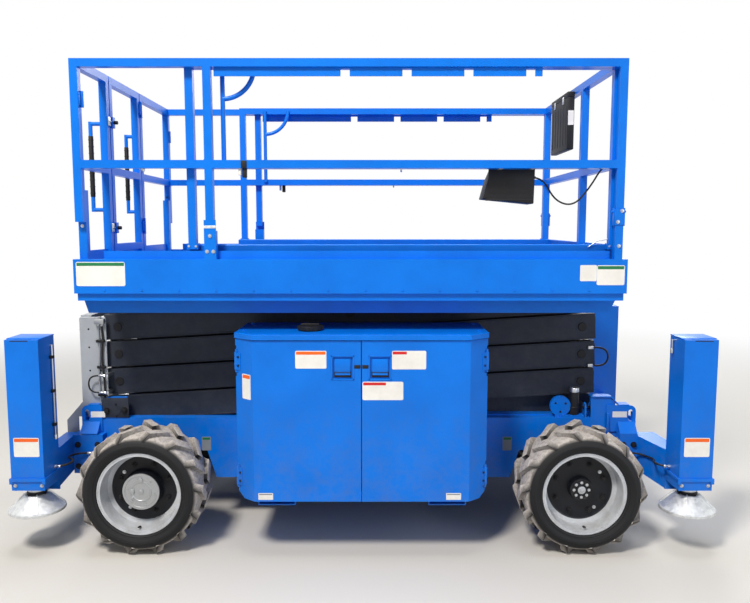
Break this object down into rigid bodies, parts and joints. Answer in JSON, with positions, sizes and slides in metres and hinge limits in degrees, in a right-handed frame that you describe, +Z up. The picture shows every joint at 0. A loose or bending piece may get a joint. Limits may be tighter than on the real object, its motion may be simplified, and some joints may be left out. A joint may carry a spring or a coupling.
{
  "type": "rough-terrain scissor lift",
  "caption": "Self-propelled rough-terrain scissor lift: railed platform with roll-out deck on a folding arm stack, over a wheeled chassis with outriggers.",
  "frame": {"origin": "on the ground under the machine's middle, midway between the axles and on the centreline", "axes": "+X to the steered end, +Y to the machine's left, +Z up"},
  "size_m": [3.713, 1.787, 2.517],
  "materials": {
    "blue_paint": "gloss",
    "charcoal_paint": "satin",
    "tyre_rubber": "matt, dusty",
    "wheel_paint": "satin",
    "black_steel": "satin",
    "black_plastic": "matt",
    "grey_paint": "satin",
    "pad_steel": "galvanised",
    "chrome_rod": "polished",
    "engine_metal": "rough"
  },
  "bodies": {
    "chassis": {"chassis_frame": "blue_paint", "side_frame_right": "blue_paint", "side_frame_left": "blue_paint", "front_brackets": "blue_paint", "front_axle": "black_steel", "rear_axle": "black_steel", "tray_right": "blue_paint", "tray_left": "blue_paint", "fuel_tank": "black_plastic", "filler_cap": "black_plastic", "engine_block": "engine_metal", "ladder": "grey_paint", "outrigger_front_right": "blue_paint", "outrigger_front_left": "blue_paint", "outrigger_rear_right": "blue_paint", "outrigger_rear_left": "blue_paint"},
    "knuckle_right": {"knuckle_front_right": "black_steel"},
    "knuckle_left": {"knuckle_front_left": "black_steel"},
    "tie_rod": {"tie_rod": "black_steel"},
    "wheel_front_right": {"tyre_front_right": "tyre_rubber", "wheel_front_right": "wheel_paint"},
    "wheel_front_left": {"tyre_front_left": "tyre_rubber", "wheel_front_left": "wheel_paint"},
    "wheel_rear_right": {"tyre_rear_right": "tyre_rubber", "wheel_rear_right": "wheel_paint"},
    "wheel_rear_left": {"tyre_rear_left": "tyre_rubber", "wheel_rear_left": "wheel_paint"},
    "outer_arms_1": {"outer_arm_1": "charcoal_paint"},
    "inner_arms_1": {"inner_arm_1": "charcoal_paint"},
    "outer_arms_2": {"outer_arm_2": "charcoal_paint"},
    "inner_arms_2": {"inner_arm_2": "charcoal_paint"},
    "outer_arms_3": {"outer_arm_3": "charcoal_paint"},
    "inner_arms_3": {"inner_arm_3": "charcoal_paint"},
    "outer_arms_4": {"outer_arm_4": "charcoal_paint"},
    "inner_arms_4": {"inner_arm_4": "charcoal_paint"},
    "platform": {"platform_deck": "blue_paint", "deck_sides": "blue_paint", "guard_right": "blue_paint", "guard_left": "blue_paint", "guard_rear": "blue_paint"},
    "lift_barrel": {"lift_barrel": "charcoal_paint"},
    "lift_rod": {"lift_rod": "chrome_rod"},
    "extension": {"extension_deck": "blue_paint", "extension_guard_right": "blue_paint", "extension_guard_left": "blue_paint", "extension_guard_front": "blue_paint", "control_box": "black_plastic", "document_box": "black_plastic"},
    "gate": {"gate": "blue_paint"},
    "door_right_front": {"door_right_front": "blue_paint"},
    "leg_front_right": {"leg_front_right": "pad_steel"},
    "door_left_front": {"door_left_front": "blue_paint"},
    "leg_front_left": {"leg_front_left": "pad_steel"},
    "door_right_rear": {"door_right_rear": "blue_paint"},
    "leg_rear_right": {"leg_rear_right": "pad_steel"},
    "door_left_rear": {"door_left_rear": "blue_paint"},
    "leg_rear_left": {"leg_rear_left": "pad_steel"}
  },
  "joints": [
    {"name": "steer_right", "type": "hinge", "parent": "chassis", "child": "knuckle_right", "pos_m": [1.145, -0.62, 0.33], "axis": [0, 0, 1], "range_deg": [-30, 30]},
    {"name": "steer_left", "type": "hinge", "parent": "chassis", "child": "knuckle_left", "pos_m": [1.145, 0.62, 0.33], "axis": [0, 0, 1], "range_deg": [-30, 30]},
    {"name": "tie_rod_pivot", "type": "hinge", "parent": "knuckle_right", "child": "tie_rod", "pos_m": [1.03, -0.62, 0.226], "axis": [0, 0, 1], "range_deg": [-31, 31]},
    {"name": "roll_front_right", "type": "hinge", "parent": "knuckle_right", "child": "wheel_front_right", "pos_m": [1.145, -0.7225, 0.33], "axis": [0, 1, 0], "continuous": true},
    {"name": "roll_front_left", "type": "hinge", "parent": "knuckle_left", "child": "wheel_front_left", "pos_m": [1.145, 0.7225, 0.33], "axis": [0, 1, 0], "continuous": true},
    {"name": "roll_rear_right", "type": "hinge", "parent": "chassis", "child": "wheel_rear_right", "pos_m": [-1.145, -0.7225, 0.33], "axis": [0, 1, 0], "continuous": true},
    {"name": "roll_rear_left", "type": "hinge", "parent": "chassis", "child": "wheel_rear_left", "pos_m": [-1.145, 0.7225, 0.33], "axis": [0, 1, 0], "continuous": true},
    {"name": "lift", "type": "hinge", "parent": "chassis", "child": "outer_arms_1", "pos_m": [-1.407, 0, 0.651], "axis": [0, -1, 0], "range_deg": [0, 53.1]},
    {"name": "inner_1_hinge", "type": "hinge", "parent": "outer_arms_1", "child": "inner_arms_1", "pos_m": [-0.07484, 0, 0.73], "axis": [0, -1, 0], "range_deg": [-107.2, 0.5]},
    {"name": "outer_2_hinge", "type": "hinge", "parent": "inner_arms_1", "child": "outer_arms_2", "pos_m": [-1.407, 0, 0.809], "axis": [0, -1, 0], "range_deg": [-0.5, 107.2]},
    {"name": "inner_2_hinge", "type": "hinge", "parent": "outer_arms_2", "child": "inner_arms_2", "pos_m": [-0.07484, 0, 0.888], "axis": [0, -1, 0], "range_deg": [-107.2, 0.5]},
    {"name": "outer_3_hinge", "type": "hinge", "parent": "inner_arms_2", "child": "outer_arms_3", "pos_m": [-1.407, 0, 0.967], "axis": [0, -1, 0], "range_deg": [-0.5, 107.2]},
    {"name": "inner_3_hinge", "type": "hinge", "parent": "outer_arms_3", "child": "inner_arms_3", "pos_m": [-0.07484, 0, 1.046], "axis": [0, -1, 0], "range_deg": [-107.2, 0.5]},
    {"name": "outer_4_hinge", "type": "hinge", "parent": "inner_arms_3", "child": "outer_arms_4", "pos_m": [-1.407, 0, 1.125], "axis": [0, -1, 0], "range_deg": [-0.5, 107.2]},
    {"name": "inner_4_hinge", "type": "hinge", "parent": "outer_arms_4", "child": "inner_arms_4", "pos_m": [-0.07484, 0, 1.204], "axis": [0, -1, 0], "range_deg": [-107.2, 0.5]},
    {"name": "platform_hinge", "type": "hinge", "parent": "inner_arms_4", "child": "platform", "pos_m": [-1.407, 0, 1.283], "axis": [0, -1, 0], "range_deg": [-0.5, 54.1]},
    {"name": "barrel_pivot", "type": "hinge", "parent": "inner_arms_1", "child": "lift_barrel", "pos_m": [-1.30717, 0, 0.80308], "axis": [0, -1, 0], "range_deg": [-0.5, 117.51]},
    {"name": "rod_slide", "type": "slide", "parent": "lift_barrel", "child": "lift_rod", "axis": [0.9967, 0, 0.081], "range_m": [-0.002, 0.4568]},
    {"name": "extension_slide", "type": "slide", "parent": "platform", "child": "extension", "axis": [1, 0, 0], "range_m": [0, 1.52]},
    {"name": "gate_swing", "type": "hinge", "parent": "platform", "child": "gate", "pos_m": [-1.384, 0.144, 2], "axis": [0, 0, 1], "range_deg": [0, 90]},
    {"name": "open_door_right_front", "type": "hinge", "parent": "chassis", "child": "door_right_front", "pos_m": [0.642, -0.795, 0.7], "axis": [0, 0, 1], "range_deg": [0, 100]},
    {"name": "lower_leg_front_right", "type": "slide", "parent": "chassis", "child": "leg_front_right", "axis": [0, 0, -1], "range_m": [0, 0.38]},
    {"name": "open_door_left_front", "type": "hinge", "parent": "chassis", "child": "door_left_front", "pos_m": [0.642, 0.795, 0.7], "axis": [0, 0, -1], "range_deg": [0, 100]},
    {"name": "lower_leg_front_left", "type": "slide", "parent": "chassis", "child": "leg_front_left", "axis": [0, 0, -1], "range_m": [0, 0.38]},
    {"name": "open_door_right_rear", "type": "hinge", "parent": "chassis", "child": "door_right_rear", "pos_m": [-0.642, -0.795, 0.7], "axis": [0, 0, -1], "range_deg": [0, 100]},
    {"name": "lower_leg_rear_right", "type": "slide", "parent": "chassis", "child": "leg_rear_right", "axis": [0, 0, -1], "range_m": [0, 0.38]},
    {"name": "open_door_left_rear", "type": "hinge", "parent": "chassis", "child": "door_left_rear", "pos_m": [-0.642, 0.795, 0.7], "axis": [0, 0, 1], "range_deg": [0, 100]},
    {"name": "lower_leg_rear_left", "type": "slide", "parent": "chassis", "child": "leg_rear_left", "axis": [0, 0, -1], "range_m": [0, 0.38]}
  ],
  "couplings": [
    {"joint": "steer_left", "follows": "steer_right", "ratio": 1},
    {"joint": "tie_rod_pivot", "follows": "steer_right", "ratio": -1},
    {"joint": "inner_1_hinge", "follows": "lift", "ratio": -2},
    {"joint": "outer_2_hinge", "follows": "lift", "ratio": 2},
    {"joint": "inner_2_hinge", "follows": "lift", "ratio": -2},
    {"joint": "outer_3_hinge", "follows": "lift", "ratio": 2},
    {"joint": "inner_3_hinge", "follows": "lift", "ratio": -2},
    {"joint": "outer_4_hinge", "follows": "lift", "ratio": 2},
    {"joint": "inner_4_hinge", "follows": "lift", "ratio": -2},
    {"joint": "platform_hinge", "follows": "lift", "ratio": 1},
    {"joint": "barrel_pivot", "follows": "lift", "ratio": 2.1942},
    {"joint": "rod_slide", "follows": "lift", "m_per_rad": 0.48853}
  ]
}
